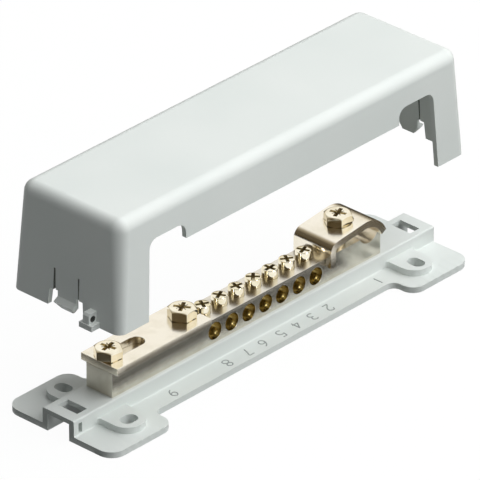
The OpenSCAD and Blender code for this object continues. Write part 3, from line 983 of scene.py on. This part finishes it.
@dataclass
class Numerals:
    """Numbers 1 to 9, moulded as low beads on the base beside their terminals.

    Their darker colour than the base is painted shade, because beads this low would hardly show by their
    own shading.
    """

    places: tuple[float, ...] = (62.8, 34.8, 25.6, 16.8, 8.0, -1.8, -10.6, -21.7, -51.8)
    y: float = -12.6
    floor_z: float = 2.5
    height: float = 4.6
    width: float = 2.9
    bead_r: float = 0.26
    rise: float = 0.16
    end_share: float = 0.45
    bead_sides: int = 8
    curve_steps: int = 7
    sharp_deg: float = 60.0

    STROKES: ClassVar[dict[int, list[list[tuple[float, float]]]]] = {
        1: [[(0.5, 0.0), (0.5, 0.5), (0.5, 1.0)]],
        2: [[(0.05, 0.75), (0.2, 0.95), (0.5, 1.0), (0.85, 0.9), (0.95, 0.7), (0.7, 0.42),
             (0.3, 0.2), (0.05, 0.0)], [(0.05, 0.0), (0.5, 0.0), (0.95, 0.0)]],
        3: [[(0.1, 0.9), (0.4, 1.0), (0.8, 0.92), (0.9, 0.75), (0.75, 0.58), (0.4, 0.53)],
            [(0.4, 0.53), (0.8, 0.46), (0.95, 0.27), (0.8, 0.07), (0.4, 0.0), (0.05, 0.1)]],
        4: [[(0.75, 0.0), (0.75, 0.5), (0.75, 1.0)], [(0.75, 1.0), (0.4, 0.62), (0.0, 0.28)],
            [(0.0, 0.28), (0.5, 0.28), (1.0, 0.28)]],
        5: [[(0.85, 1.0), (0.5, 1.0), (0.2, 1.0)], [(0.2, 1.0), (0.15, 0.78), (0.1, 0.55)],
            [(0.1, 0.55), (0.45, 0.63), (0.82, 0.53), (0.95, 0.3), (0.8, 0.08), (0.45, 0.0),
             (0.05, 0.1)]],
        6: [[(0.8, 0.97), (0.4, 0.8), (0.12, 0.5), (0.07, 0.25), (0.3, 0.03), (0.65, 0.02),
             (0.93, 0.25), (0.8, 0.48), (0.5, 0.55), (0.15, 0.42)]],
        7: [[(0.05, 1.0), (0.5, 1.0), (0.95, 1.0)], [(0.95, 1.0), (0.6, 0.5), (0.35, 0.0)]],
        8: [[(0.5, 0.53), (0.15, 0.65), (0.12, 0.87), (0.5, 1.0), (0.88, 0.87), (0.85, 0.65),
             (0.5, 0.53), (0.1, 0.38), (0.08, 0.13), (0.5, 0.0), (0.92, 0.13), (0.9, 0.38),
             (0.5, 0.53)]],
    }

    def smooth_path(self, points: np.ndarray) -> np.ndarray:
        """Run a Catmull-Rom curve through the points, with its ends doubled.

        Args:
            points: Array of shape (points, 2).

        Returns:
            Array of shape (more points, 2).
        """
        padded = np.vstack([points[:1], points, points[-1:]])
        t = np.linspace(0, 1, self.curve_steps, endpoint=False)[None, :, None]
        p0, p1, p2, p3 = (padded[i : len(padded) - 3 + i, None, :] for i in range(4))
        curve = 0.5 * (
            2 * p1
            + (p2 - p0) * t
            + (2 * p0 - 5 * p1 + 4 * p2 - p3) * t**2
            + (3 * p1 - p0 - 3 * p2 + p3) * t**3
        )
        return np.vstack([curve.reshape(-1, points.shape[1]), points[-1:]])

    def bead(self, path: np.ndarray) -> np.ndarray:
        """Carry an oval along a flat path, smaller at both ends.

        The oval's lower half lies below the base's face. Its half width goes with
        the cosine of the angle around it, square to the path, and its height with
        the sine.

        Args:
            path: Array of shape (points, 2), in millimetres.

        Returns:
            Array of shape (points, around, 3), in millimetres.
        """
        along = np.gradient(path, axis=0)
        along /= np.maximum(np.linalg.norm(along, axis=1, keepdims=True), TINY)
        side = np.stack([-along[:, 1], along[:, 0]], axis=-1)
        a = np.linspace(0, 2 * math.pi, self.bead_sides, endpoint=False)
        ease = np.ones((len(path), 1))
        ease[0] = ease[-1] = self.end_share
        across = np.cos(a) * self.bead_r * ease
        flat = path[:, None, :] + side[:, None, :] * across[:, :, None]
        z = self.floor_z + np.sin(a) * self.rise * ease
        return np.concatenate([flat, z[:, :, None]], axis=-1)

    def strokes(self, number: int) -> list[list[tuple[float, float]]]:
        """List a number's strokes in a unit square, where nine is six turned half round.

        Args:
            number: The number, 1 to 9.

        Returns:
            The points of each stroke.
        """
        if number in self.STROKES:
            return self.STROKES[number]
        return [[(1 - u, 1 - v) for u, v in stroke] for stroke in self.STROKES[6]]

    def build(self, material: bpy.types.Material) -> bpy.types.Object:
        """Join the beads of all numbers into one piece on the base.

        Args:
            material: The finish of the numbers.

        Returns:
            The new piece.
        """
        joined = bmesh.new()
        for number, x in enumerate(self.places, start=1):
            for stroke in self.strokes(number):
                unit = np.array(stroke) - 0.5
                flat = np.stack([x - unit[:, 0] * self.width, self.y - unit[:, 1] * self.height], axis=-1)
                mesh = grid_mesh("stroke", self.bead(self.smooth_path(flat)))
                joined.from_mesh(mesh)
                bpy.data.meshes.remove(mesh)
        bmesh.ops.recalc_face_normals(joined, faces=joined.faces)
        mesh = bpy.data.meshes.new("base_numerals")
        joined.to_mesh(mesh)
        joined.free()
        return place_piece("base_numerals", mesh, material, "base", self.sharp_deg)


@dataclass(frozen=True)
class SlitShade:
    """Where the walls of the cover's sealing hole and of the slits by its tongues are, for their painted
    shade.
    """

    tongue_mm: float = 11.4
    slit_mm: float = 0.8
    height_mm: float = 16.0
    open_mm: float = 50.8
    end_mm: float = 88.0
    margin_mm: float = 0.1
    facing: float = 0.9
    eye_mm: tuple[float, float, float] = (-97.1, -14.0, 54.7)
    eye_r_mm: float = 1.3
    eye_half_mm: float = 2.5

    def inside(self, mesh: bpy.types.Mesh) -> np.ndarray:
        """Find the walls of the slits and of the sealing hole.

        A face is in a slit when it faces along the cover's width and its middle lies
        past the end line, between the tongue's side and the wall's cut, and no higher
        than the slit. It is in the hole when it faces another way and its middle lies
        within the hole's radius and half length.

        Args:
            mesh: The cover's mesh.

        Returns:
            Whether each face is such a wall.
        """
        middle = face_vectors(mesh, "center") / MM
        across = np.abs(face_vectors(mesh, "normal")[:, 1])
        aside = np.abs(np.abs(middle[:, 1]) - (self.tongue_mm + self.slit_mm) / 2)
        low = self.open_mm + self.margin_mm
        in_slit = aside < self.slit_mm / 2 + self.margin_mm
        in_slit &= np.abs(middle[:, 0]) > self.end_mm
        in_slit &= (middle[:, 2] > low) & (middle[:, 2] < low + self.height_mm)
        in_slit &= across > self.facing
        off = np.abs(middle - np.array(self.eye_mm))
        in_eye = np.hypot(off[:, 0], off[:, 2]) < self.eye_r_mm + self.margin_mm
        in_eye &= (off[:, 1] < self.eye_half_mm) & (across < self.facing)
        return in_slit | in_eye


@dataclass(frozen=True)
class BoreShade:
    """Where the walls of the terminal bores through the bar are, for their painted shade."""

    radius_mm: float = 3.85
    height_mm: float = 14.3
    face_mm: float = 6.5

    def inside(self, mesh: bpy.types.Mesh) -> np.ndarray:
        """Find the walls of the bores.

        A face is in a bore when its middle lies within the radius of the bore's axis,
        which runs under a terminal screw, and inside the bar's two long faces.

        Args:
            mesh: The bar's mesh.

        Returns:
            Whether each face is in a bore.
        """
        middle = face_vectors(mesh, "center") / MM
        inside = np.zeros(len(middle), dtype=bool)
        for number in TERMINALS:
            low, high = box_mm(f"terminal_screw_{number}")
            off_x = middle[:, 0] - (low[0] + high[0]) / 2
            inside |= np.hypot(off_x, middle[:, 2] - self.height_mm) < self.radius_mm
        return inside & (np.abs(middle[:, 1]) < self.face_mm)


# --------------------------------------------------------------- dressing


@dataclass(frozen=True)
class RoundedNode:
    """A carried-over solid whose edges are softened as moulding or tumbling leaves them."""

    node: str
    body: str
    slot: str
    edge_mm: float
    segments: int = 2
    merge_m: float = 2e-6
    flat_deg: float = 0.5
    sharp_deg: float = 28.0

    def merged_mesh(self) -> bpy.types.Mesh:
        """Copy the solid, merge its doubles and join the triangles of its flat faces.

        Returns:
            The new mesh, without a finish.
        """
        mesh = bpy.data.meshes.new(f"{self.node}_softened")
        work = bmesh.new()
        work.from_mesh(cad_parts[self.node].data)
        bmesh.ops.remove_doubles(work, verts=work.verts, dist=self.merge_m)
        bmesh.ops.dissolve_degenerate(work, edges=work.edges, dist=self.merge_m)
        bmesh.ops.dissolve_limit(
            work,
            angle_limit=math.radians(self.flat_deg),
            verts=work.verts,
            edges=work.edges,
            delimit=set(),
        )
        work.to_mesh(mesh)
        work.free()
        mesh.materials.clear()
        return mesh

    def build(self, material: bpy.types.Material) -> bpy.types.Object:
        """Dress a merged copy of the solid, soften its edges and let it stand for the solid.

        Args:
            material: The finish of the whole piece.

        Returns:
            The new piece.
        """
        mesh = self.merged_mesh()
        mesh.materials.append(material)
        mesh.shade_smooth()
        piece = add_object(f"{self.node}_softened", mesh)
        bevel = piece.modifiers.new("soft_edges", "BEVEL")
        bevel.width = self.edge_mm * MM
        bevel.segments = self.segments
        bevel.limit_method = "ANGLE"
        bevel.angle_limit = math.radians(self.sharp_deg)
        bevel.use_clamp_overlap = True
        bevel.harden_normals = False
        even = piece.modifiers.new("even_shading", "WEIGHTED_NORMAL")
        even.keep_sharp = True
        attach(piece, self.body)
        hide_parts(self.node)
        LOG.info("%s softened", self.node)
        return piece


def dress(node: str, material: bpy.types.Material) -> None:
    """Give a carried-over node one finish.

    Args:
        node: The node's name.
        material: Its finish.
    """
    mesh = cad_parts[node].data
    mesh.materials.clear()
    mesh.materials.append(material)
    LOG.info("%s dressed", node)


def main() -> None:
    """Build the studio and dress the part."""
    logging.basicConfig(level=logging.INFO, format="%(name)s: %(message)s")
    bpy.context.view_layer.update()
    Studio().build()
    plastics = {plastic: plastic.value.build() for plastic in Plastic}
    metals = {metal: metal.value.build() for metal in Metal}
    # Painted shade: the driving crosses take darker metal than the screws.
    sheet, screw, hex_cross_shade = metals[Metal.SHEET], metals[Metal.SCREW], metals[Metal.HEX_CROSS_PAINTED_SHADE]
    for side in ("left", "right"):
        dress(f"bar_fixing_screw_{side}", screw)
    RoundedNode("base_plate", "base", "base_plastic", edge_mm=0.3).build(plastics[Plastic.BODY])
    cover = RoundedNode("cover", "cover", "cover_plastic", edge_mm=0.15).build(plastics[Plastic.BODY])
    cover.visible_glossy = False
    # Painted shade: the slit and sealing-hole walls take the darker plastic.
    finish_faces(cover.data, SlitShade().inside(cover.data), plastics[Plastic.SLIT_PAINTED_SHADE])
    bar = RoundedNode("contact_bar", "base", "plated_bar", edge_mm=0.15).build(metals[Metal.BAR])
    # Painted shade: the bore walls take the darker metal.
    finish_faces(bar.data, BoreShade().inside(bar.data), metals[Metal.BORE_PAINTED_SHADE])
    RoundedNode("strip_clamp_plate", "strip_clamp", "plated_steel", edge_mm=0.2).build(sheet)
    RoundedNode("saddle_clamp", "saddle", "plated_steel", edge_mm=0.25).build(sheet)
    hexagon_screws = (
        HexScrew("strip_screw_left", "strip_clamp", turn_deg=24.6, cross_deg=10.0, length=12.0),
        HexScrew("strip_screw_right", "strip_clamp", turn_deg=31.6, cross_deg=30.0, length=12.0),
        HexScrew("saddle_screw", "saddle", turn_deg=26.6, cross_deg=20.0, length=16.5),
    )
    for hexagon_screw in hexagon_screws:
        hexagon_screw.build(screw, hex_cross_shade)
    for number in TERMINALS:
        TerminalScrew(number).build(metals[Metal.TERMINAL], metals[Metal.TIP], metals[Metal.TERMINAL_CROSS_PAINTED_SHADE])
    # Painted shade: the numbers take the darker plastic.
    Numerals().build(plastics[Plastic.NUMERAL_PAINTED_SHADE])


if __name__ == "__main__":
    main()
